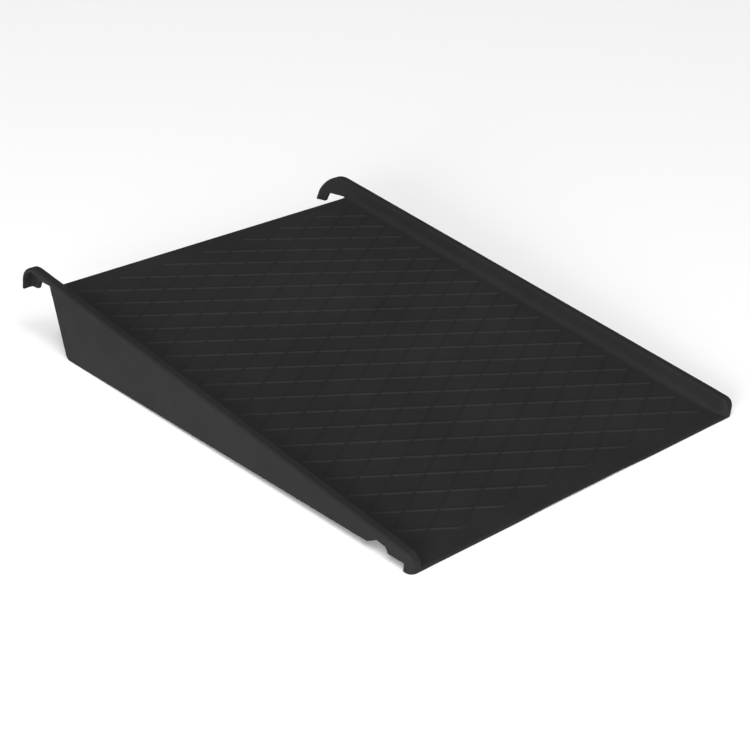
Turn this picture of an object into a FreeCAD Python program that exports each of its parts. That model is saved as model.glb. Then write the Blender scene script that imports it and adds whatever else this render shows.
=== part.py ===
"""Wheel ramp for levelling a caravan: one thin-walled plastic moulding, cut into its named zones.

Everything is first modelled in the deck's own frame, in millimetres:
  X runs across the ramp, Y runs along the deck towards the heel, Z stands up from the deck,
  and Z = 0 is the flat deck surface between the tread ribs.
The finished zones are then tilted and lowered, so that the ramp stands on the ground at Z = 0
with the origin at the centre of its footprint. Neighbouring zones meet face to face.
"""
import FreeCAD, Part
import math
import os

V = FreeCAD.Vector

# Overall
WALL = 3.1               # wall thickness of the moulding
SLOPE = 6.3              # degrees between the deck and the ground
DECK_TOE = -211.5        # Y of the thin front edge
DECK_HEEL = 211.4        # Y of the deck's edge above the heel
DECK_HALF = 143.9        # half width of the flat deck, up to the kerb fillets
GROUND_DROP = 25.84      # the ground lies this far below the deck at Y = 0

# Kerbs: hollow upturned edges along both sides
KERB_HEIGHT = 11.2
KERB_FOOT_X = 148.4      # where the inner face would meet the deck without its fillet
KERB_LEAN = 16.9         # degrees the inner face leans outwards
KERB_FILLET = 6.0
KERB_OUTER_X = 159.2     # outer face at the top of the kerb
KERB_EDGE_R = 2.0
OUTER_WALL_FROM_X = 154.0    # between the hollow of the kerb and its outer wall
KERB_TOE_R = 9.0         # rounded front end of the kerb
DRAFT = 1.0              # degrees of flare of the outer face

# Outer wall in side view
HEEL_TOP = (202.6, 7.2)          # upper end of the wall's rear edge, under the hook
HEEL_BOTTOM = (178.2, -45.95)     # lower rear corner
HEEL_CORNER_R = 6.0
BASE_SLOPE = 7.24                # degrees between the deck and the wall's lower edge
NOTCH_Y = (-169.5, -178.2, -187.0, -189.5)   # foot, top, top and foot of the notch near the toe
NOTCH_Z = 4.4                                # height of the notch's roof
NOTCH_R = (3.0, 1.0, 2.0, 1.0)

# Front lip
LIP_BACK = -204.4
LIP_CORNER_R = 5.0
LIP_NOSE_R = 1.2
ARCH_HALF = 66.0         # half width of the shallow arch under the lip
ARCH_RISE = 1.6

# Hooks past the heel
HOOK_CORNER = (241.6, 11.2)      # where the top and back lines of the hook would meet
HOOK_LEAN = 16.0                 # degrees the leg leans away from the heel
HOOK_BEND_R = 26.0
HOOK_TIP_BACK = -16.8            # Z of the tip at the back
HOOK_TIP_FRONT = (237.2, -14.4)
HOOK_THROAT = (233.8, -5.3)      # inner corner between arm and leg
HOOK_ARM_ROOT = (215.5, -1.6)    # underside of the arm beside the deck's edge
HOOK_WEB_X = 145.8               # inner face of the leg
HOOK_RIM_Z = 6.9                 # lower edge of the arm's outer rim
HOOK_TIP_X = 155.6               # outer edge of the flange at the tip

# Tread: two families of parallel ribs that cross as long diamonds
RIB_PITCH_X = 40.0       # length of a diamond across the ramp
RIB_ANGLE = 30.0         # degrees between a rib and the X axis
RIB_WIDTH = 1.8
RIB_HEIGHT = 0.8
TREAD_HALF_X = 140.0
TREAD_HALF_Y = 196.3

# Stiffening ribs below the deck
STIFFENER = 2.4
LONG_RIB_X = (-104.0, -52.0, 0.0, 52.0, 104.0)
CROSS_RIB_FIRST = -120.0
CROSS_RIB_PITCH = 45.0
CROSS_RIB_COUNT = 7
RIB_TOE_END = -150.0

BELOW = -60.0            # a level under the whole ramp, measured from the deck
FAR = 400.0              # reach of the cutting tools, beyond every face of the ramp


# ---------------------------------------------------------------- outlines
def tangent(deg):
    return math.tan(math.radians(deg))


def cosine(deg):
    return math.cos(math.radians(deg))


def base_z(y):
    """Lower edge of the outer wall."""
    return HEEL_BOTTOM[1] + (HEEL_BOTTOM[0] - y) * tangent(BASE_SLOPE)


def rear_y(z):
    """Rear edge of the outer wall and outside of the heel wall."""
    run = (HEEL_TOP[0] - HEEL_BOTTOM[0]) / (HEEL_TOP[1] - HEEL_BOTTOM[1])
    return HEEL_BOTTOM[0] + (z - HEEL_BOTTOM[1]) * run


def ground_z(y):
    return -GROUND_DROP - y * tangent(SLOPE)


def rounded_face(corners, place):
    """Face of straight sides; a corner (u, v, r) is rounded with radius r."""
    corners = [(c + (0.0,))[:3] for c in corners]
    count = len(corners)
    edges = []
    ends = []
    for i, (u, v, r) in enumerate(corners):
        here = V(u, v, 0)
        before = V(*corners[i - 1][:2], 0) - here
        after = V(*corners[(i + 1) % count][:2], 0) - here
        if r == 0:
            ends.append((here, here, None))
            continue
        before.normalize()
        after.normalize()
        half = before.getAngle(after) / 2
        reach = r / math.tan(half)
        inward = before + after
        inward.normalize()
        middle = here + inward * (r / math.sin(half) - r)
        ends.append((here + before * reach, here + after * reach, middle))
    for i, (start, end, middle) in enumerate(ends):
        if middle is not None:
            edges.append(Part.Arc(place(start), place(middle), place(end)).toShape())
        following = ends[(i + 1) % count][0]
        if (following - end).Length > 1e-6:
            edges.append(Part.LineSegment(place(end), place(following)).toShape())
    return Part.Face(Part.Wire(edges))


def along_y(corners, y0, y1):
    """Prism along Y of an (x, z) outline."""
    face = rounded_face(corners, lambda p: V(p.x, y0, p.y))
    return face.extrude(V(0, y1 - y0, 0))


def along_x(corners, x0, x1):
    """Prism along X of a (y, z) outline."""
    face = rounded_face(corners, lambda p: V(x0, p.x, p.y))
    return face.extrude(V(x1 - x0, 0, 0))


def upright(corners, z0, z1):
    """Prism along Z of an (x, y) outline."""
    face = rounded_face(corners, lambda p: V(p.x, p.y, z0))
    return face.extrude(V(0, 0, z1 - z0))


def box(x, y, z):
    return Part.makeBox(x[1] - x[0], y[1] - y[0], z[1] - z[0], V(x[0], y[0], z[0]))


def mirrored(shape):
    return shape.mirror(V(0, 0, 0), V(1, 0, 0))


# ---------------------------------------------------------------- shared cutting tools
def outer_x(z):
    """Outer face of kerb and side wall, flaring by the draft angle."""
    return KERB_OUTER_X + (KERB_HEIGHT - z) * tangent(DRAFT)


def kerb_face_x(z, inset=0.0):
    """Inner face of the kerb, or the same face set into the wall."""
    return KERB_FOOT_X + z * tangent(KERB_LEAN) + inset / cosine(KERB_LEAN)


def below_outer_wall():
    """All that the outer wall leaves free below and behind it, with the notch near the toe."""
    feet = (base_z(NOTCH_Y[0]), NOTCH_Z, NOTCH_Z, base_z(NOTCH_Y[3]))
    notch = [(y, z, r) for y, z, r in zip(NOTCH_Y, feet, NOTCH_R)]
    outline = [HEEL_TOP, HEEL_BOTTOM + (HEEL_CORNER_R,)] + notch
    outline += [(LIP_BACK, base_z(LIP_BACK)), (LIP_BACK, -FAR), (FAR, -FAR), (FAR, HEEL_TOP[1])]
    return along_x(outline, OUTER_WALL_FROM_X, FAR)


def footprint():
    """Plan outline with the two rounded front corners."""
    side = outer_x(BELOW)
    corners = [(-side, DECK_TOE, LIP_CORNER_R), (side, DECK_TOE, LIP_CORNER_R), (side, FAR), (-side, FAR)]
    return upright(corners, -FAR, FAR)


def above_ground():
    """Half space above the ground, as a deep block whose floor is the ground plane."""
    corners = [(-FAR, ground_z(-FAR)), (FAR, ground_z(FAR)), (FAR, FAR), (-FAR, FAR)]
    return along_x(corners, -FAR, FAR)


# ---------------------------------------------------------------- zones of the moulding
def deck_plate():
    return box((-DECK_HALF, DECK_HALF), (LIP_BACK, DECK_HEEL), (-WALL, 0))


def tread_ribs():
    """Crossing ribs as one lattice: a thin plate with a diamond cut out of every cell."""
    pitch_y = RIB_PITCH_X * tangent(RIB_ANGLE)
    half_x = (RIB_PITCH_X - RIB_WIDTH / math.sin(math.radians(RIB_ANGLE))) / 2
    half_y = half_x * tangent(RIB_ANGLE)
    columns = int(2 * TREAD_HALF_X / RIB_PITCH_X) + 1
    rows = int(2 * TREAD_HALF_Y / pitch_y) + 1
    cells = []
    for i in range(2 * columns + 1):
        for j in range(2 * rows + 1):
            if (i + j) % 2 == 0:
                continue
            x = (i - columns) * RIB_PITCH_X / 2
            y = (j - rows) * pitch_y / 2
            corners = [(x - half_x, y), (x, y - half_y), (x + half_x, y), (x, y + half_y)]
            cells.append(upright(corners, 0, RIB_HEIGHT))
    plate = box((-TREAD_HALF_X, TREAD_HALF_X), (-TREAD_HALF_Y, TREAD_HALF_Y), (0, RIB_HEIGHT))
    return plate.cut(Part.makeCompound(cells))


def kerb():
    """Right-hand kerb: fillet, inner face and crown, closed by a rounded end at the toe."""
    top = KERB_HEIGHT
    outside = [(DECK_HALF, -WALL), (DECK_HALF, 0), (KERB_FOOT_X, 0, KERB_FILLET),
               (kerb_face_x(top), top, KERB_EDGE_R), (KERB_OUTER_X, top, KERB_EDGE_R),
               (outer_x(0), 0), (outer_x(0), -WALL)]
    inner_foot = (kerb_face_x(-WALL, WALL), -WALL, KERB_FILLET + WALL)
    roof = top - WALL
    cavity = [(DECK_HALF, -WALL), inner_foot, (kerb_face_x(roof, WALL), roof), (outer_x(roof) - WALL, roof),
              (outer_x(0) - WALL, 0), (FAR, 0), (FAR, -FAR), (DECK_HALF, -FAR)]
    nose = [(DECK_TOE, -FAR), (DECK_TOE, top, KERB_TOE_R), (HEEL_TOP[0], top), (HEEL_TOP[0], -FAR)]
    inner_nose = [(DECK_TOE + WALL, -FAR), (DECK_TOE + WALL, roof, KERB_TOE_R - WALL),
                  (FAR, roof), (FAR, -FAR)]
    solid = along_y(outside, DECK_TOE, HEEL_TOP[0]).common(along_x(nose, 0, FAR)).common(footprint())
    solid = solid.cut(along_y(cavity, -FAR, FAR).common(along_x(inner_nose, 0, FAR)))
    solid = solid.cut(below_outer_wall())
    return solid.cut(box((0, FAR), (-FAR, LIP_BACK), (-FAR, 0)))


def side_wall():
    """Right-hand outer wall below deck level, deep at the heel and running out at the toe."""
    slab = along_y([(outer_x(0), 0), (outer_x(BELOW), BELOW), (outer_x(BELOW) - WALL, BELOW),
                    (outer_x(0) - WALL, 0)], NOTCH_Y[1], HEEL_TOP[0])
    return slab.cut(below_outer_wall()).common(above_ground())


def hook_outline(inset):
    """Top, bend and back of the hook, set in from the outside."""
    lean = tangent(HOOK_LEAN)
    back = HOOK_CORNER[0] - inset / cosine(HOOK_LEAN) + inset * lean
    corner = (back, HOOK_CORNER[1] - inset, HOOK_BEND_R - inset)
    tip = (back + (corner[1] - HOOK_TIP_BACK) * lean, HOOK_TIP_BACK)
    return corner, tip


def hook():
    """Right-hand hook: an upright web in the hook's shape, with a flange over its top and back."""
    top = KERB_HEIGHT
    start = HEEL_TOP[0]
    corner, tip = hook_outline(0)
    inner_corner, inner_tip = hook_outline(WALL)
    profile = [(start, top), corner, tip, HOOK_TIP_FRONT + (1.5,), HOOK_THROAT + (2.5,), HOOK_ARM_ROOT + (3.0,),
               (DECK_HEEL, -WALL), (start, -WALL)]
    web_section = [(kerb_face_x(top), top), (HOOK_WEB_X, kerb_z_at(HOOK_WEB_X)), (HOOK_WEB_X, -FAR),
                   (HOOK_WEB_X + WALL, -FAR), (HOOK_WEB_X + WALL, kerb_z_at(HOOK_WEB_X)),
                   (kerb_face_x(top, WALL), top)]
    web = along_x(profile, 0, FAR).common(along_y(web_section, start, FAR))
    band = [(start, top), corner, tip, inner_tip, inner_corner, (start, inner_corner[1])]
    flange = along_x(band, HOOK_WEB_X - 1, FAR).common(along_y(flange_section(), start, FAR))
    rim = along_y([(outer_x(top), top), (outer_x(HOOK_RIM_Z), HOOK_RIM_Z),
                   (outer_x(HOOK_RIM_Z) - WALL, HOOK_RIM_Z), (outer_x(top) - WALL, top)], start, FAR)
    rim = rim.common(along_x(profile, 0, FAR)).common(along_y(flange_section(), start, FAR))
    return web.multiFuse([flange, rim, fillet_strip(start, DECK_HEEL)]).removeSplitter()


def kerb_z_at(x):
    return (x - KERB_FOOT_X) / tangent(KERB_LEAN)


def flange_section():
    """Across the hook: from the web's inner face to an outer edge that narrows to the tip."""
    top = KERB_HEIGHT
    return [(kerb_face_x(top), top), (HOOK_WEB_X, kerb_z_at(HOOK_WEB_X)), (HOOK_WEB_X, HOOK_TIP_BACK - 5),
            (HOOK_TIP_X, HOOK_TIP_BACK - 5), (outer_x(HOOK_RIM_Z), HOOK_RIM_Z), (outer_x(top), top)]


def fillet_strip(y0, y1):
    """The rounded foot of the kerb between the deck and the web."""
    foot = [(DECK_HALF, -WALL), (DECK_HALF, 0), (KERB_FOOT_X, 0, KERB_FILLET),
            (kerb_face_x(6), 6), (kerb_face_x(6, WALL), 6), (kerb_face_x(-WALL, WALL), -WALL)]
    return along_y(foot, y0, y1)


def toe_lip():
    """Front edge: a thin full-width bar that lies on the ground, hollowed by a shallow arch."""
    side = outer_x(0)
    bar = along_x([(LIP_BACK, -FAR), (LIP_BACK, 0), (DECK_TOE, 0, LIP_NOSE_R), (DECK_TOE, -FAR)], -side, side)
    bar = bar.common(footprint()).common(above_ground())
    radius = (ARCH_HALF ** 2 + ARCH_RISE ** 2) / (2 * ARCH_RISE)
    crown = ground_z(DECK_TOE) + ARCH_RISE
    arch = Part.makeCylinder(radius, -2 * DECK_TOE, V(0, 2 * DECK_TOE, crown - radius), V(0, 1, 0))
    arch.rotate(V(0, DECK_TOE, crown), V(1, 0, 0), -SLOPE)
    return bar.cut(arch)


def heel_wall_front():
    """Upper and lower end of the heel wall's inside, in side view."""
    lean = (HEEL_TOP[0] - HEEL_BOTTOM[0]) / (HEEL_TOP[1] - HEEL_BOTTOM[1])
    thick = WALL * math.hypot(1.0, lean)
    low = base_z(HEEL_BOTTOM[0] - thick)
    return (rear_y(-WALL) - thick, -WALL), (rear_y(low) - thick, low)


def heel_wall():
    """Leaning cross wall that closes the heel between the two side walls."""
    front_top, front_low = heel_wall_front()
    outline = [(rear_y(-WALL), -WALL), HEEL_BOTTOM, front_low, front_top]
    wall = along_x(outline, -FAR, FAR)
    return wall.common(between_side_walls()).common(above_ground())


def between_side_walls():
    return along_y([(-outer_x(0) + WALL, 0), (outer_x(0) - WALL, 0), (outer_x(BELOW) - WALL, BELOW),
                    (-outer_x(BELOW) + WALL, BELOW)], -FAR, FAR)


def rib_bay():
    """Side view of the room for stiffening ribs: under the deck, above the base, before the heel wall."""
    front_top, front_low = heel_wall_front()
    return [(RIB_TOE_END, base_z(RIB_TOE_END)), (RIB_TOE_END, -WALL), front_top, front_low]


def long_rib(x):
    return along_x(rib_bay(), x - STIFFENER / 2, x + STIFFENER / 2).common(above_ground())


def cross_rib(y):
    """One row of short cross ribs, each between two lengthwise walls."""
    row = box((-FAR, FAR), (y - STIFFENER / 2, y + STIFFENER / 2), (-FAR, FAR))
    row = row.common(along_x(rib_bay(), -FAR, FAR)).common(between_side_walls()).common(above_ground())
    for x in LONG_RIB_X:
        row = row.cut(box((x - STIFFENER / 2, x + STIFFENER / 2), (-FAR, FAR), (-FAR, FAR)))
    return row


# ---------------------------------------------------------------- assembly and export
def build():
    right = {"kerb": kerb(), "side_wall": side_wall(), "hook": hook()}
    nodes = {"deck_plate": deck_plate(), "tread_ribs": tread_ribs(), "toe_lip": toe_lip(), "heel_wall": heel_wall()}
    for name, shape in right.items():
        nodes[name + "_right"] = shape
        nodes[name + "_left"] = mirrored(shape)
    for i, x in enumerate(LONG_RIB_X):
        nodes["long_rib_%d" % (i + 1)] = long_rib(x)
    for i in range(CROSS_RIB_COUNT):
        nodes["cross_rib_%d" % (i + 1)] = cross_rib(CROSS_RIB_FIRST + i * CROSS_RIB_PITCH)
    return nodes


def exact_box(nodes):
    return Part.makeCompound(list(nodes.values())).optimalBoundingBox(False, False)


def stand_on_ground(nodes):
    """Tilt the deck to its slope, put the ground at Z = 0 and centre the footprint."""
    for shape in nodes.values():
        shape.rotate(V(0, 0, 0), V(1, 0, 0), SLOPE)
        shape.translate(V(0, 0, GROUND_DROP * cosine(SLOPE)))
    whole = exact_box(nodes)
    middle = (whole.YMin + whole.YMax) / 2
    for shape in nodes.values():
        shape.translate(V(0, -middle, 0))
    return middle


def main():
    os.makedirs("parts", exist_ok=True)
    nodes = build()
    middle = stand_on_ground(nodes)
    for name, shape in nodes.items():
        solids = shape.Solids
        if len(solids) == 1:
            shape = solids[0]
        shape.exportStep("parts/%s.step" % name)
        print("%-14s solids %d faces %4d valid %s volume %9.1f" % (
            name, len(solids), len(shape.Faces), shape.isValid(), shape.Volume))
    print("shift in Y %.3f  box %s" % (-middle, exact_box(nodes)))


main()
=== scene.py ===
import bmesh
import bpy
import math
from mathutils import Matrix, Vector


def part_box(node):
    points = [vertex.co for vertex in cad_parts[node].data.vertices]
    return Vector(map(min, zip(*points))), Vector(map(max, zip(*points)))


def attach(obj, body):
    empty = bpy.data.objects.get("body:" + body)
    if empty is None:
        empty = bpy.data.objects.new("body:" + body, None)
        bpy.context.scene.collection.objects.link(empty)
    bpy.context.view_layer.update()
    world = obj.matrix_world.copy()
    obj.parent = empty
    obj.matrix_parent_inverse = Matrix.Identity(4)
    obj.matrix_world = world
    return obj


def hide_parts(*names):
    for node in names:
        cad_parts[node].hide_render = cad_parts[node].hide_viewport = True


# Looks of a one-piece moulded wheel ramp. Meshes are drawn in the deck's own frame, in millimetres:
# X across the ramp, Y along the deck towards the heel, Z up from the deck surface.
# Side pieces are drawn for the right-hand side (+X) and mirrored for the left.

# ---------------------------------------------------------------- sizes, as in the CAD part
WALL = 3.1
SLOPE = math.radians(6.3)
DECK_TOE = -211.5
DECK_HEEL = 211.4
DECK_HALF = 143.9
GROUND_DROP = 25.84
KERB_HEIGHT = 11.2
KERB_FOOT_X = 148.4
KERB_LEAN = math.tan(math.radians(16.9))
KERB_FILLET = 6.0
KERB_OUTER_X = 159.2
KERB_EDGE_R = 2.0
KERB_TOE_R = 9.0
DRAFT = math.tan(math.radians(1.0))
HEEL_TOP = (202.6, 7.2)
HEEL_BOTTOM = (178.2, -45.95)
HEEL_CORNER_R = 6.0
REAR_LEAN = (HEEL_TOP[0] - HEEL_BOTTOM[0]) / (HEEL_TOP[1] - HEEL_BOTTOM[1])
BASE_SLOPE = math.tan(math.radians(7.24))
NOTCH_Y = (-169.5, -178.2, -187.0, -189.5)
NOTCH_Z = 4.4
NOTCH_R = (3.0, 1.0, 2.0, 1.0)
LIP_BACK = -204.4
LIP_CORNER_R = 5.0
LIP_NOSE_R = 1.2
ARCH_HALF = 66.0
ARCH_RISE = 1.6
HOOK_CORNER = (241.6, 11.2)
HOOK_LEAN = math.tan(math.radians(16.0))
HOOK_BEND_R = 26.0
HOOK_TIP_BACK = -16.8
HOOK_TIP_FRONT = (237.2, -14.4)
HOOK_THROAT = (233.8, -5.3)
HOOK_ARM_ROOT = (215.5, -1.6)
HOOK_WEB_X = 145.8
HOOK_RIM_Z = 6.9
HOOK_TIP_X = 155.6
HOOK_TIP_R = 1.5
HOOK_THROAT_R = 2.5
HOOK_ROOT_R = 3.0
HOOK_FOOT_Z = 6.0        # the kerb's foot is carried on past the kerb up to this height

# Tread ribs: two families 20 mm apart, at 30 degrees each way to the X axis
RIB_SPACING = 20.0
RIB_HEIGHT = 0.8
# (distance from the rib's middle, share of its height)
RIB_PROFILE = ((0.0, 1.0), (0.35, 0.94), (0.6, 0.78), (0.85, 0.52), (1.1, 0.26), (1.35, 0.07), (1.6, 0.0))
TREAD_HALF_X = 140.0
TREAD_HALF_Y = 196.3
TREAD_TAPER = 1.6        # the ribs run down to the deck over this length at the field's border

# Softer shapes that the CAD part leaves out
EDGE_R = 0.5             # softened edge of a cut wall
SHARP_R = 0.001          # stands for an unrounded corner, with as many points as a rounded one
FRONT_EDGE_R = 0.3       # lower edges of the toe end
CAVITY_R = 0.8           # upper corners of the kerb's hollow
HEEL_EDGE_R = 0.9        # rounded edge of the deck above the heel
STIFFENER_EDGE_R = 0.6   # lower edges of heel wall and ribs
KERB_TOE_TURN = 2.6      # the kerb's inner face turns out this far at the toe
KERB_TOE_FOOT_R = 0.35   # the kerb's foot fillet at the very toe
KERB_FOOT_RUNOUT = 17.0  # the fillet reaches its full radius this far from the toe
HOOK_INNER_R = 1.2       # inner edge of the hook's flange
HOOK_WEB_INSET = 1.5     # the web's outline lies this far inside the flange
HOOK_OVERLAP = 3.0       # the hook is drawn this much too long on both sides, then cut to its faces
HOOK_VOXEL = 0.35
HOOK_SMOOTHING = 4       # rounds
SHARP_FROM = 35.0        # degrees between faces from which an edge is shaded as sharp
MM = 0.001

# Camera, in the deck frame
CAMERA_PLACE = Vector((-741.2, -762.9, 637.96))
CAMERA_RIGHT = Vector((0.74970, -0.65678, 0.08119))
CAMERA_FORWARD = Vector((0.59136, 0.60980, -0.52768))
CAMERA_LENS = 79.4

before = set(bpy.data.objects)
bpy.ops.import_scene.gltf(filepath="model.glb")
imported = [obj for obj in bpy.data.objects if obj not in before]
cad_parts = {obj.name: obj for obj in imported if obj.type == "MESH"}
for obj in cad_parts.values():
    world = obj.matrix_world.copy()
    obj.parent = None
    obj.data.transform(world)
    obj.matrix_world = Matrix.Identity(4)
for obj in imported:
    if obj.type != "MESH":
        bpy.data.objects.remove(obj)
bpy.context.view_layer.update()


# ---------------------------------------------------------------- frame and mesh helpers
def deck_origin():
    """World place of the deck frame's origin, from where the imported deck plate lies."""
    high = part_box("deck_plate")[1]
    y = high.y - (DECK_HEEL * math.cos(SLOPE) + WALL * math.sin(SLOPE)) * MM
    z = high.z - DECK_HEEL * math.sin(SLOPE) * MM
    return Vector((0.0, y, z))


TO_WORLD = Matrix.Translation(deck_origin()) @ Matrix.Rotation(SLOPE, 4, "X") @ Matrix.Scale(MM, 4)


def outer_x(z):
    return KERB_OUTER_X + (KERB_HEIGHT - z) * DRAFT


def kerb_face_x(z, inset=0.0):
    return KERB_FOOT_X + z * KERB_LEAN + inset * math.hypot(1.0, KERB_LEAN)


def base_z(y):
    return HEEL_BOTTOM[1] + (HEEL_BOTTOM[0] - y) * BASE_SLOPE


def ground_z(y):
    return -GROUND_DROP - y * math.tan(SLOPE)


def rear_y(z):
    return HEEL_BOTTOM[0] + (z - HEEL_BOTTOM[1]) * REAR_LEAN


def smooth(t):
    t = min(1.0, max(0.0, t))
    return t * t * (3.0 - 2.0 * t)


def rounded(corners, closed=True):
    """Points of an outline whose corners (u, v, radius, steps) are rounded."""
    points = []
    count = len(corners)
    for i, (u, v, r, steps) in enumerate(corners):
        here = Vector((u, v))
        is_end = not closed and i in (0, count - 1)
        if steps == 0 or is_end:
            points.append((u, v))
            continue
        before = (Vector(corners[i - 1][:2]) - here).normalized()
        after = (Vector(corners[(i + 1) % count][:2]) - here).normalized()
        half = before.angle(after) / 2
        start = here + before * (r / math.tan(half))
        end = here + after * (r / math.tan(half))
        centre = here + (before + after).normalized() * (r / math.sin(half))
        points += [tuple(p) for p in arc_between(start, end, centre, steps)]
    return points


def arc_between(start, end, centre, steps):
    a = start - centre
    b = end - centre
    turn = math.atan2(a.x * b.y - a.y * b.x, a.dot(b))
    made = []
    for k in range(steps + 1):
        c = math.cos(turn * k / steps)
        s = math.sin(turn * k / steps)
        made.append(centre + Vector((a.x * c - a.y * s, a.x * s + a.y * c)))
    return made


def loft(rings):
    """Closed skin through rings of equally many points."""
    bm = bmesh.new()
    rows = [[bm.verts.new(p) for p in ring] for ring in rings]
    for lower, upper in zip(rows, rows[1:]):
        for i in range(len(lower)):
            j = (i + 1) % len(lower)
            bm.faces.new((lower[i], lower[j], upper[j], upper[i]))
    bm.faces.new(rows[0][::-1])
    bm.faces.new(rows[-1])
    return bm


def tidy(bm, merge=0.004):
    bmesh.ops.remove_doubles(bm, verts=bm.verts, dist=merge)
    bmesh.ops.dissolve_degenerate(bm, edges=bm.edges, dist=merge)
    bmesh.ops.recalc_face_normals(bm, faces=bm.faces)


def add_piece(name, bm, replaces):
    """Object in the world frame from a mesh in the deck frame, riding on the one body."""
    mesh = bpy.data.meshes.new(name)
    bm.transform(TO_WORLD)
    bm.to_mesh(mesh)
    bm.free()
    for polygon in mesh.polygons:
        polygon.use_smooth = True
    mesh.set_sharp_from_angle(angle=math.radians(SHARP_FROM))
    piece = bpy.data.objects.new(name, mesh)
    bpy.context.scene.collection.objects.link(piece)
    shading = piece.modifiers.new("even_shading", "WEIGHTED_NORMAL")
    shading.keep_sharp = True
    shading.weight = 100
    piece.data.materials.append(PLASTIC)
    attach(piece, "root")
    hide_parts(*replaces)
    return piece


def add_pair(name, bm):
    """A right-hand side piece and its mirror image."""
    left = bm.copy()
    bmesh.ops.scale(left, vec=(-1.0, 1.0, 1.0), verts=left.verts)
    bmesh.ops.reverse_faces(left, faces=left.faces)
    add_piece(name + "_right_moulding", bm, [name + "_right"])
    add_piece(name + "_left_moulding", left, [name + "_left"])


# ---------------------------------------------------------------- material
def moulded_plastic():
    """Matt black plastic: fine grain, faint flow marks and slightly uneven colour and gloss."""
    material = bpy.data.materials.new("moulded_plastic")
    material.use_nodes = True
    nodes = material.node_tree.nodes
    links = material.node_tree.links
    shader = nodes["Principled BSDF"]
    shader.inputs["Specular IOR Level"].default_value = 0.05
    place = nodes.new("ShaderNodeTexCoord").outputs["Object"]

    def noise(scale, detail, roughness=0.5):
        node = nodes.new("ShaderNodeTexNoise")
        node.inputs["Scale"].default_value = scale
        node.inputs["Detail"].default_value = detail
        node.inputs["Roughness"].default_value = roughness
        links.new(place, node.inputs["Vector"])
        return node.outputs["Fac"]

    def ramp(value, stops):
        node = nodes.new("ShaderNodeValToRGB")
        node.color_ramp.elements[0].position = stops[0][0]
        node.color_ramp.elements[0].color = stops[0][1]
        node.color_ramp.elements[1].position = stops[-1][0]
        node.color_ramp.elements[1].color = stops[-1][1]
        links.new(value, node.inputs["Fac"])
        return node.outputs["Color"]

    def bump(height, distance, strength, before=None):
        node = nodes.new("ShaderNodeBump")
        node.inputs["Distance"].default_value = distance
        node.inputs["Strength"].default_value = strength
        links.new(height, node.inputs["Height"])
        if before is not None:
            links.new(before, node.inputs["Normal"])
        return node.outputs["Normal"]

    def gloss(value, low, high):
        node = nodes.new("ShaderNodeMapRange")
        node.inputs["From Min"].default_value = 0.3
        node.inputs["From Max"].default_value = 0.7
        node.inputs["To Min"].default_value = low
        node.inputs["To Max"].default_value = high
        links.new(value, node.inputs["Value"])
        return node.outputs["Result"]

    cloud = noise(14.0, 5.0, 0.6)
    dark = (0.0168, 0.0168, 0.0173, 1.0)
    light = (0.0209, 0.0209, 0.0215, 1.0)
    links.new(ramp(cloud, ((0.3, dark), (0.7, light))), shader.inputs["Base Color"])
    links.new(gloss(noise(60.0, 4.0), 0.50, 0.60), shader.inputs["Roughness"])
    flow = bump(noise(9.0, 3.0), 0.0006, 0.35)
    links.new(bump(noise(2400.0, 3.0, 0.6), 0.00006, 0.55, flow), shader.inputs["Normal"])
    return material


PLASTIC = moulded_plastic()


# ---------------------------------------------------------------- deck with its tread
def rib_share(distance):
    """Height of one rib, as a share of its full height, this far from the rib's middle."""
    for (d0, h0), (d1, h1) in zip(RIB_PROFILE, RIB_PROFILE[1:]):
        if distance <= d1:
            return h0 + (h1 - h0) * (distance - d0) / (d1 - d0)
    return 0.0


def off_rib(s):
    """Distance to the nearest rib's middle, across a family of ribs."""
    return abs((s + RIB_SPACING / 2) % RIB_SPACING - RIB_SPACING / 2)


def tread_z(x, y):
    across_a = 0.5 * x + math.sqrt(0.75) * y
    across_b = 0.5 * x - math.sqrt(0.75) * y
    a = rib_share(round(off_rib(across_a), 4))
    b = rib_share(round(off_rib(across_b), 4))
    inside = min((TREAD_HALF_X - abs(x)) / TREAD_TAPER, (TREAD_HALF_Y - abs(y)) / TREAD_TAPER)
    return RIB_HEIGHT * (1.0 - (1.0 - a) * (1.0 - b)) * smooth(inside)


def floor_z(y):
    """Deck level, which rounds off at the toe and above the heel."""
    toe = DECK_TOE + LIP_NOSE_R - y
    heel = y - (DECK_HEEL - HEEL_EDGE_R)
    if toe > 0:
        return -LIP_NOSE_R + math.sqrt(max(0.0, LIP_NOSE_R ** 2 - toe ** 2))
    if heel > 0:
        return -HEEL_EDGE_R + math.sqrt(max(0.0, HEEL_EDGE_R ** 2 - heel ** 2))
    return 0.0


def rib_lines(reach):
    """Where the tread's mesh lines run, across one family of ribs."""
    lines = []
    count = int(reach / RIB_SPACING) + 1
    for k in range(-count, count + 1):
        middle = k * RIB_SPACING
        lines += [middle - d for d, _ in RIB_PROFILE[:0:-1]]
        lines += [middle + d for d, _ in RIB_PROFILE]
    return lines


def lattice():
    """Flat mesh over the whole deck, with lines along both families of ribs."""
    bm = bmesh.new()
    lines = rib_lines(270.0)
    grid = {}
    for i, s in enumerate(lines):
        for j, t in enumerate(lines):
            x = s + t
            y = (s - t) / math.sqrt(3.0)
            if abs(x) < DECK_HALF + 45 and abs(y) < DECK_HEEL + 30:
                grid[i, j] = bm.verts.new((x, y, 0.0))
    for (i, j), corner in grid.items():
        ring = [corner, grid.get((i + 1, j)), grid.get((i + 1, j + 1)), grid.get((i, j + 1))]
        if None not in ring:
            bm.faces.new(ring)
    return bm


def cut(bm, place, normal, clear=True):
    everything = list(bm.verts) + list(bm.edges) + list(bm.faces)
    bmesh.ops.bisect_plane(
        bm, geom=everything, dist=1e-5, plane_co=place, plane_no=normal, clear_outer=clear)


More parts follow.
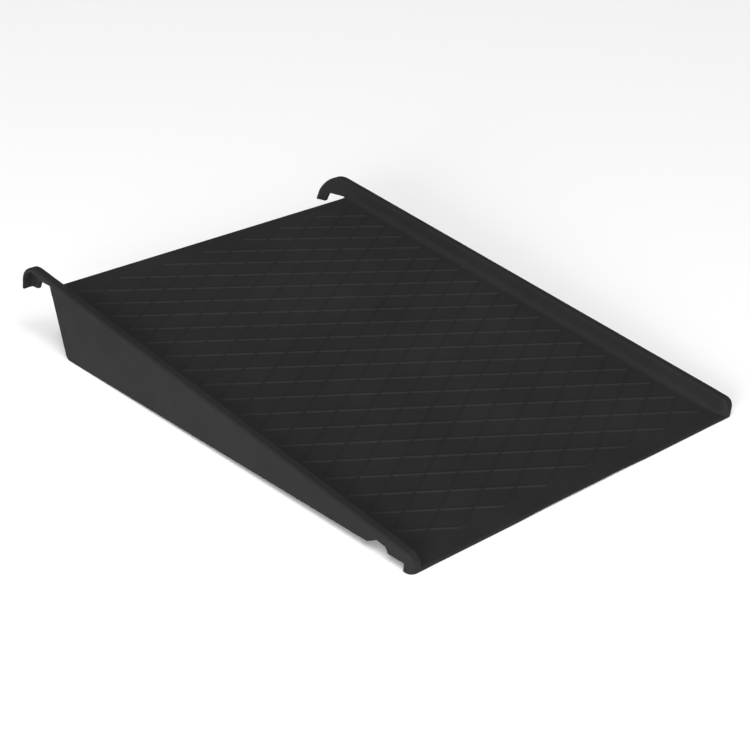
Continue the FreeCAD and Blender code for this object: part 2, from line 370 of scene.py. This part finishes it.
def deck():
    bm = lattice()
    for sign in (-1, 1):
        cut(bm, (sign * DECK_HALF, 0, 0), (sign, 0, 0))
        for inset in (0.0, 0.5 * TREAD_TAPER, TREAD_TAPER):
            cut(bm, (sign * (TREAD_HALF_X - inset), 0, 0), (1, 0, 0), False)
            cut(bm, (0, sign * (TREAD_HALF_Y - inset), 0), (0, 1, 0), False)
    cut(bm, (0, LIP_BACK, 0), (0, -1, 0))
    cut(bm, (0, DECK_HEEL, 0), (0, 1, 0))
    for k in range(5):
        y = DECK_HEEL - HEEL_EDGE_R * (1.0 - math.sin(math.radians(18.0 * k)))
        cut(bm, (0, y, 0), (0, 1, 0), False)
    bmesh.ops.remove_doubles(bm, verts=bm.verts, dist=1e-4)
    for v in bm.verts:
        v.co.z = tread_z(v.co.x, v.co.y) + floor_z(v.co.y)
    bmesh.ops.dissolve_degenerate(bm, edges=bm.edges, dist=1e-3)
    border = [e for e in bm.edges if e.is_boundary]
    walls = bmesh.ops.extrude_edge_only(bm, edges=border)["geom"]
    low = [g for g in walls if isinstance(g, bmesh.types.BMVert)]
    for v in low:
        v.co.z = -WALL
    bottom = [e for e in walls if isinstance(e, bmesh.types.BMEdge) and e.is_boundary]
    bmesh.ops.contextual_create(bm, geom=bottom)
    bmesh.ops.recalc_face_normals(bm, faces=bm.faces)
    return bm


# ---------------------------------------------------------------- kerbs
def crown_z(y):
    """Top of the kerb, rounded down at the toe."""
    past = (DECK_TOE + KERB_TOE_R) - y
    if past <= 0:
        return KERB_HEIGHT
    return KERB_HEIGHT - KERB_TOE_R + math.sqrt(max(0.0, KERB_TOE_R ** 2 - past ** 2))


def corner_inset(y):
    """How far the outer face has turned in on the rounded front corner."""
    past = (DECK_TOE + LIP_CORNER_R) - y
    if past <= 0:
        return 0.0
    return LIP_CORNER_R - math.sqrt(max(0.0, LIP_CORNER_R ** 2 - past ** 2))


def toe_turn(y):
    """How far the inner face has turned out towards the kerb's rounded front end."""
    past = min(KERB_TOE_R, max(0.0, (DECK_TOE + KERB_TOE_R) - y)) / KERB_TOE_R
    return KERB_TOE_TURN * (1.0 - math.sqrt(1.0 - past * past))


def foot_radius(y):
    """The kerb's foot fillet, which runs out towards the toe."""
    return KERB_TOE_FOOT_R + (KERB_FILLET - KERB_TOE_FOOT_R) * smooth((y - DECK_TOE) / KERB_FOOT_RUNOUT)


def outer_edge():
    """Lower edge of the outer face above deck level, as (y, z) from heel to toe, with the notch."""
    z_at_notch = base_z(NOTCH_Y[0])
    foot_y = NOTCH_Y[0] + (NOTCH_Y[1] - NOTCH_Y[0]) * (0.0 - z_at_notch) / (NOTCH_Z - z_at_notch)
    path = [(HEEL_TOP[0], HEEL_TOP[1], 0, 0), (rear_y(0.0), 0.0, 0.2, 2), (foot_y, 0.0, 0, 0),
            (NOTCH_Y[1], NOTCH_Z, NOTCH_R[1], 4), (NOTCH_Y[2], NOTCH_Z, NOTCH_R[2], 5),
            (NOTCH_Y[3], base_z(NOTCH_Y[3]), NOTCH_R[3], 4), (LIP_BACK, base_z(LIP_BACK), 0, 0)]
    return rounded(path, closed=False), foot_y


def open_section(y, low, is_free):
    """Section of the hollow kerb: over the top from the deck, round the outer edge and back underneath."""
    top = crown_z(y)
    roof = KERB_HEIGHT - WALL
    past = max(0.0, (DECK_TOE + KERB_TOE_R) - y)
    roof -= (KERB_TOE_R - WALL) - math.sqrt(max(0.0, (KERB_TOE_R - WALL) ** 2 - past ** 2))
    r = EDGE_R if is_free else SHARP_R
    turn = toe_turn(y)
    return rounded([
        (DECK_HALF, 0.0, 0, 0),
        (KERB_FOOT_X + turn, 0.0, foot_radius(y), 10),
        (kerb_face_x(top) + turn, top, KERB_EDGE_R, 8),
        (outer_x(top), top, KERB_EDGE_R, 8),
        (outer_x(low), low, r, 3),
        (outer_x(low) - WALL, low, r, 3),
        (outer_x(roof) - WALL, roof, CAVITY_R, 3),
        (kerb_face_x(roof, WALL), roof, CAVITY_R, 3),
        (kerb_face_x(-WALL, WALL), -WALL, KERB_FILLET + WALL, 8),
        (DECK_HALF, -WALL, 0, 0)])


def solid_section(y):
    """Section of the solid toe end, down to the ground."""
    top = crown_z(y)
    base = floor_z(y)
    ground = ground_z(y)
    turned = corner_inset(y)
    edge = min(KERB_EDGE_R, 0.45 * (top - base))
    upper = rounded([
        (DECK_HALF, base, 0, 0),
        (kerb_face_x(base) + toe_turn(y), base, foot_radius(y), 10),
        (kerb_face_x(top) + toe_turn(y), top, edge, 8),
        (outer_x(top) - turned, top, edge, 8),
        (outer_x(ground) - turned, ground, FRONT_EDGE_R, 3),
        (DECK_HALF, ground, 0, 0)])
    hidden = len(open_section(0.0, 0.0, False)) - len(upper)
    start = upper[-2]
    end = upper[-1]
    spread = [(start[0] + (end[0] - start[0]) * (k + 1) / (hidden + 1), ground) for k in range(hidden)]
    return upper[:-1] + spread + [end]


def kerb():
    edge, foot_y = outer_edge()
    rings = []
    for y, z in edge:
        section = open_section(y, z, y < foot_y - 0.3 or y > rear_y(0.0) + 0.4)
        rings.append([(u, y, v) for u, v in section])
    steps = [LIP_BACK]
    steps += [DECK_TOE + LIP_CORNER_R + 1.0]
    steps += [DECK_TOE + LIP_CORNER_R * (1.0 - math.sin(math.radians(9.0 * k))) for k in range(11)]
    for y in steps:
        rings.append([(u, y, v) for u, v in solid_section(y)])
    bm = loft(rings)
    tidy(bm)
    return bm


# ---------------------------------------------------------------- side walls below the deck
def wall_outline(inset):
    """Side view of the wall; its free edges move in by inset, and its top stays at deck level."""
    z_notch = base_z(NOTCH_Y[0])
    slope = (NOTCH_Z - z_notch) / (NOTCH_Y[1] - NOTCH_Y[0])
    lift = inset * math.hypot(1.0, BASE_SLOPE)
    foot = NOTCH_Y[0] - z_notch / slope + inset * math.hypot(1.0, slope) / abs(slope)
    rear = rear_y(0.0) - inset * math.hypot(1.0, REAR_LEAN)
    rear_low = crossing(rear, REAR_LEAN, lift)
    foot_low = crossing(foot, 1.0 / slope, lift)
    return rounded([
        (foot, 0.0, 0, 0),
        (rear, 0.0, 0, 0),
        (rear_low, base_z(rear_low) + lift, HEEL_CORNER_R - inset, 10),
        (foot_low, base_z(foot_low) + lift, NOTCH_R[0] - inset, 5)])


def crossing(top_y, run, lift):
    """Y where an edge that leaves deck level at top_y, run per unit of Z, meets the raised lower edge."""
    return (top_y + run * (base_z(0.0) + lift)) / (1.0 + run * BASE_SLOPE)


def side_wall():
    turns = [math.radians(30.0 * k) for k in range(4)]
    rim = [(EDGE_R * (1.0 - math.sin(t)), EDGE_R * (1.0 - math.cos(t))) for t in turns]
    rings = [(depth, inset) for inset, depth in rim]
    rings += [(WALL - depth, inset) for depth, inset in reversed(rings)]
    made = []
    for depth, inset in rings:
        outline = [(y, max(z, ground_z(y))) for y, z in wall_outline(inset)]
        made.append([(outer_x(z) - depth, y, z) for y, z in outline])
    bm = loft(made)
    tidy(bm, 0.002)
    return bm


# ---------------------------------------------------------------- front lip
def lip_ring(x):
    """Section of the lip across the ramp: deck level, rounded nose, front face and underside."""
    arch = ARCH_RISE * max(0.0, 1.0 - (x / ARCH_HALF) ** 2)
    front = ground_z(DECK_TOE) + arch
    back = ground_z(LIP_BACK) + arch
    section = rounded([
        (LIP_BACK, 0.0, 0, 0),
        (DECK_TOE, 0.0, LIP_NOSE_R, 6),
        (DECK_TOE, front, FRONT_EDGE_R, 3),
        (LIP_BACK, back, FRONT_EDGE_R, 3)])
    return [(x, y, z) for y, z in section]


def toe_lip():
    xs = [-DECK_HALF, -105.0, -ARCH_HALF]
    xs += [ARCH_HALF * (k / 10.0) for k in range(-9, 10)]
    xs += [ARCH_HALF, 105.0, DECK_HALF]
    bm = loft([lip_ring(x) for x in xs])
    tidy(bm)
    return bm


# ---------------------------------------------------------------- hooks
def flat_prism(outline, x0, x1, lines):
    """Closed prism along X of a (y, z) outline, with mesh lines at the given heights."""
    bm = bmesh.new()
    near = [bm.verts.new((x0, y, z)) for y, z in outline]
    far = [bm.verts.new((x1, y, z)) for y, z in outline]
    bm.faces.new(near)
    bm.faces.new(far[::-1])
    for i in range(len(near)):
        j = (i + 1) % len(near)
        bm.faces.new((near[i], far[i], far[j], near[j]))
    for z in lines:
        cut(bm, (0, 0, z), (0, 0, 1), False)
    bmesh.ops.recalc_face_normals(bm, faces=bm.faces)
    return bm


def kerb_z_at(x):
    return (x - KERB_FOOT_X) / KERB_LEAN


def web_x(z):
    return max(HOOK_WEB_X, kerb_face_x(z))


def flange_x(z):
    """Outer edge of the hook's flange: the outer wall's face above, narrowing to the tip below."""
    if z >= HOOK_RIM_Z:
        return outer_x(z)
    share = (HOOK_RIM_Z - z) / (HOOK_RIM_Z - (HOOK_TIP_BACK - 5.0))
    return outer_x(HOOK_RIM_Z) + (HOOK_TIP_X - outer_x(HOOK_RIM_Z)) * share


def hook_outline(inset):
    """Corner and tip of the hook's back line, set in from the outside."""
    back = HOOK_CORNER[0] - inset * math.hypot(1.0, HOOK_LEAN) + inset * HOOK_LEAN
    top = HOOK_CORNER[1] - inset
    return (back, top), (back + (top - HOOK_TIP_BACK) * HOOK_LEAN, HOOK_TIP_BACK)


def hook_line(start, inset):
    """The hook's top, bend and back as points, set in from the outside."""
    corner, tip = hook_outline(inset)
    return rounded([(start, corner[1], 0, 0), corner + (HOOK_BEND_R - inset, 20), tip + (0, 0)])


def web_plate(start):
    """Upright inner web in the outline of the hook; its top and back lie inside the flange."""
    corner, tip = hook_outline(HOOK_WEB_INSET)
    profile = rounded([
        (start, corner[1], 0, 0),
        corner + (HOOK_BEND_R - HOOK_WEB_INSET, 16),
        tip + (0, 0),
        HOOK_TIP_FRONT + (HOOK_TIP_R, 4),
        HOOK_THROAT + (HOOK_THROAT_R, 5),
        HOOK_ARM_ROOT + (HOOK_ROOT_R, 5),
        (DECK_HEEL, -WALL, 0, 0),
        (start, -WALL, 0, 0)])
    web = flat_prism(profile, 0.0, 1.0, [kerb_z_at(HOOK_WEB_X), HOOK_RIM_Z])
    for v in web.verts:
        v.co.x = web_x(v.co.z) + WALL * v.co.x
    return web


def flange_and_rim(start):
    """Band over the hook's top and back, with the shallow outer rim that fades round the bend."""
    rings = []
    for (y0, z0), (y1, z1) in zip(hook_line(start, 0.0), hook_line(start, WALL)):
        fall = max(0.05, (z0 - z1) / WALL)
        deep = max(WALL + 0.05, min((z0 - HOOK_RIM_Z) / fall, KERB_HEIGHT - HOOK_RIM_Z))
        left = web_x(z0)
        right = flange_x(z0)
        section = rounded([
            (left, 0.0, HOOK_INNER_R, 6), (right, 0.0, KERB_EDGE_R, 6), (right, deep, 0, 0),
            (right - WALL, deep, 0, 0), (right - WALL, WALL, 0, 0), (left, WALL, 0, 0)])
        rings.append([(u, y0 + (y1 - y0) * d / WALL, z0 + (z1 - z0) * d / WALL) for u, d in section])
    band = loft(rings)
    bmesh.ops.recalc_face_normals(band, faces=band.faces)
    return band


def kerb_foot(start):
    """The kerb's rounded foot, carried on to the deck's edge."""
    side = DECK_HALF - HOOK_OVERLAP
    section = rounded([
        (side, -WALL, 0, 0),
        (side, 0.0, 0, 0),
        (KERB_FOOT_X, 0.0, KERB_FILLET, 10),
        (kerb_face_x(HOOK_FOOT_Z), HOOK_FOOT_Z, 0, 0),
        (kerb_face_x(HOOK_FOOT_Z, WALL), HOOK_FOOT_Z, 0, 0),
        (kerb_face_x(-WALL, WALL), -WALL, 0, 0)])
    foot = loft([[(u, y, v) for u, v in section] for y in (start, DECK_HEEL)])
    bmesh.ops.recalc_face_normals(foot, faces=foot.faces)
    return foot


def joined(parts):
    whole = bmesh.new()
    for part in parts:
        mesh = bpy.data.meshes.new("part")
        part.to_mesh(mesh)
        part.free()
        whole.from_mesh(mesh)
        bpy.data.meshes.remove(mesh)
    return whole


def fused(bm):
    """One skin round overlapping closed parts, with all its edges softened."""
    mesh = bpy.data.meshes.new("fused")
    bm.to_mesh(mesh)
    bm.free()
    holder = bpy.data.objects.new("fused", mesh)
    bpy.context.scene.collection.objects.link(holder)
    remesh = holder.modifiers.new("remesh", "REMESH")
    remesh.mode = "VOXEL"
    remesh.voxel_size = HOOK_VOXEL
    ready = holder.evaluated_get(bpy.context.evaluated_depsgraph_get())
    skin = bmesh.new()
    skin.from_mesh(ready.to_mesh())
    ready.to_mesh_clear()
    bpy.data.objects.remove(holder)
    bpy.data.meshes.remove(mesh)
    for _ in range(HOOK_SMOOTHING):
        bmesh.ops.smooth_vert(
            skin, verts=skin.verts, factor=0.5, use_axis_x=True, use_axis_y=True, use_axis_z=True)
    return skin


def cut_and_close(bm, place, normal):
    """Cuts off what lies beyond a plane and closes the opening flat."""
    everything = list(bm.verts) + list(bm.edges) + list(bm.faces)
    done = bmesh.ops.bisect_plane(
        bm, geom=everything, dist=1e-4, plane_co=place, plane_no=normal, clear_outer=True)
    rim = [e for e in done["geom_cut"] if isinstance(e, bmesh.types.BMEdge)]
    bmesh.ops.contextual_create(bm, geom=rim)


def hook():
    start = HEEL_TOP[0] - HOOK_OVERLAP
    skin = fused(joined([web_plate(start), flange_and_rim(start), kerb_foot(start)]))
    cut_and_close(skin, (0, HEEL_TOP[0], 0), (0, -1, 0))
    cut_and_close(skin, (DECK_HALF, 0, 0), (-1, 0, 0))
    bmesh.ops.recalc_face_normals(skin, faces=skin.faces)
    return skin


# ---------------------------------------------------------------- stiffening under the deck
def softened(name):
    """A copy of the CAD wall or rib of that name, with its lower edges rounded."""
    bm = bmesh.new()
    bm.from_mesh(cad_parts[name].data)
    bm.transform(TO_WORLD.inverted())
    bmesh.ops.remove_doubles(bm, verts=bm.verts, dist=0.01)
    bmesh.ops.dissolve_limit(bm, angle_limit=math.radians(0.5), verts=bm.verts, edges=bm.edges)
    sharp = [e for e in bm.edges if len(e.link_faces) == 2 and e.calc_face_angle(0.0) > math.radians(30)]
    lower = [e for e in sharp if max(v.co.z for v in e.verts) < -WALL - 0.05]
    bmesh.ops.bevel(
        bm, geom=lower, offset=STIFFENER_EDGE_R, segments=3, profile=0.5, affect="EDGES", clamp_overlap=True)
    bmesh.ops.recalc_face_normals(bm, faces=bm.faces)
    return bm


# ---------------------------------------------------------------- surroundings
def matt(name, colour):
    material = bpy.data.materials.new(name)
    material.use_nodes = True
    shader = material.node_tree.nodes["Principled BSDF"]
    shader.inputs["Base Color"].default_value = colour
    shader.inputs["Roughness"].default_value = 0.9
    return material


def pale_floor():
    bm = bmesh.new()
    bmesh.ops.create_circle(bm, cap_ends=True, segments=96, radius=12.0)
    mesh = bpy.data.meshes.new("floor")
    bm.to_mesh(mesh)
    bm.free()
    floor = bpy.data.objects.new("floor", mesh)
    floor.location.z = -0.0003
    bpy.context.scene.collection.objects.link(floor)
    mesh.materials.append(matt("floor_paint", (0.94, 0.94, 0.94, 1.0)))


def softbox(name, place, aim, size, power):
    light = bpy.data.lights.new(name, "AREA")
    light.shape = "RECTANGLE"
    light.size = size[0]
    light.size_y = size[1]
    light.energy = power
    lamp = bpy.data.objects.new(name, light)
    lamp.location = place
    lamp.rotation_euler = (Vector(aim) - Vector(place)).to_track_quat("-Z", "Y").to_euler()
    bpy.context.scene.collection.objects.link(lamp)


def overhead(name, towards, spread, strength):
    """A sun with a wide disc, which lights part and floor evenly from above."""
    light = bpy.data.lights.new(name, "SUN")
    light.energy = strength
    light.angle = math.radians(spread)
    lamp = bpy.data.objects.new(name, light)
    lamp.rotation_euler = Vector(towards).to_track_quat("Z", "Y").to_euler()
    bpy.context.scene.collection.objects.link(lamp)


def studio():
    world = bpy.data.worlds.new("studio")
    world.use_nodes = True
    world.node_tree.nodes["Background"].inputs["Color"].default_value = (1.0, 1.0, 1.0, 1.0)
    world.node_tree.nodes["Background"].inputs["Strength"].default_value = 0.16
    bpy.context.scene.world = world
    softbox("key", (-1.6, -1.5, 0.8), (0.0, -0.05, 0.0), (1.2, 0.8), 12.0)
    softbox("side", (-2.0, -1.1, 0.6), (0.05, 0.0, 0.0), (0.9, 0.7), 38.0)
    overhead("overhead", (-0.3, -0.4, 0.88), 45.0, 2.65)


def camera():
    data = bpy.data.cameras.new("camera")
    data.lens = CAMERA_LENS
    data.sensor_width = 36.0
    data.clip_start = 0.05
    data.clip_end = 60.0
    eye = bpy.data.objects.new("camera", data)
    right = CAMERA_RIGHT.normalized()
    forward = CAMERA_FORWARD.normalized()
    right = (right - forward * right.dot(forward)).normalized()
    up = right.cross(forward)
    turn = Matrix.Rotation(SLOPE, 4, "X") @ Matrix((right, up, -forward)).transposed().to_4x4()
    eye.matrix_world = Matrix.Translation(TO_WORLD @ CAMERA_PLACE) @ turn
    bpy.context.scene.collection.objects.link(eye)
    bpy.context.scene.camera = eye


# ---------------------------------------------------------------- the whole scene
add_piece("deck_moulding", deck(), ["deck_plate", "tread_ribs"])
add_pair("kerb", kerb())
add_pair("side_wall", side_wall())
add_pair("hook", hook())
add_piece("toe_lip_moulding", toe_lip(), ["toe_lip"])
STIFFENERS = ["heel_wall"] + sorted(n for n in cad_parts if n.startswith(("long_rib", "cross_rib")))
for node in STIFFENERS:
    add_piece(node + "_moulding", softened(node), [node])
pale_floor()
studio()
camera()
bpy.context.scene.view_settings.view_transform = "Standard"
